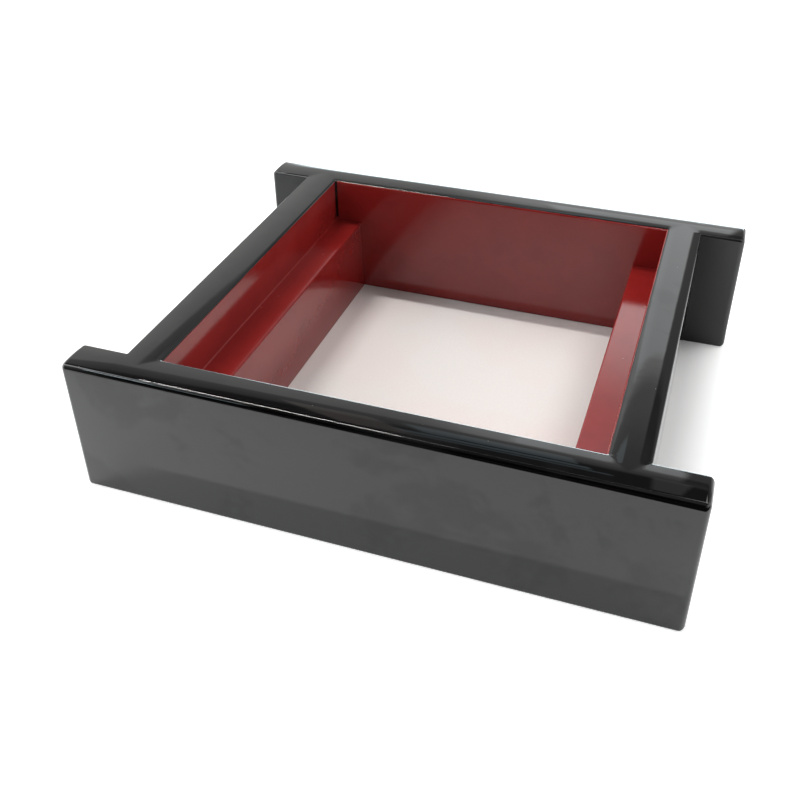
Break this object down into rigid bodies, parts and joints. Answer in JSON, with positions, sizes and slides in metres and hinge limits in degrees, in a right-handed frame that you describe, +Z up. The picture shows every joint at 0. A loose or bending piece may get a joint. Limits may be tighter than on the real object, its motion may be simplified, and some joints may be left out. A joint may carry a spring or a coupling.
{
  "type": "open lacquered box frame",
  "caption": "Open box frame in the well-curb shape: long boards run past the cross boards; black lacquer outside, red inside, with a ledge along two walls.",
  "frame": {"origin": "centre of the frame's footprint, on the surface that it stands on", "axes": "+X along the long boards to the right, +Y from the front board to the rear board, +Z up"},
  "size_m": [0.24, 0.2, 0.06],
  "materials": {
    "black_lacquer": "gloss black lacquer on wood, polished, with faint handling smudges; the inner faces are lacquered red",
    "red_lacquer": "satin-gloss vermilion lacquer on wood",
    "beech": "bare turned hardwood, hidden inside the joints"
  },
  "bodies": {
    "root": {"front_board": "black_lacquer", "rear_board": "black_lacquer", "left_board": "black_lacquer", "right_board": "black_lacquer", "left_ledge": "red_lacquer", "right_ledge": "red_lacquer", "dowel_front_left_lower": "beech", "dowel_front_left_upper": "beech", "dowel_front_right_lower": "beech", "dowel_front_right_upper": "beech", "dowel_rear_left_lower": "beech", "dowel_rear_left_upper": "beech", "dowel_rear_right_lower": "beech", "dowel_rear_right_upper": "beech", "ledge_pin_left_front": "beech", "ledge_pin_left_middle": "beech", "ledge_pin_left_rear": "beech", "ledge_pin_right_front": "beech", "ledge_pin_right_middle": "beech", "ledge_pin_right_rear": "beech"}
  },
  "joints": []
}
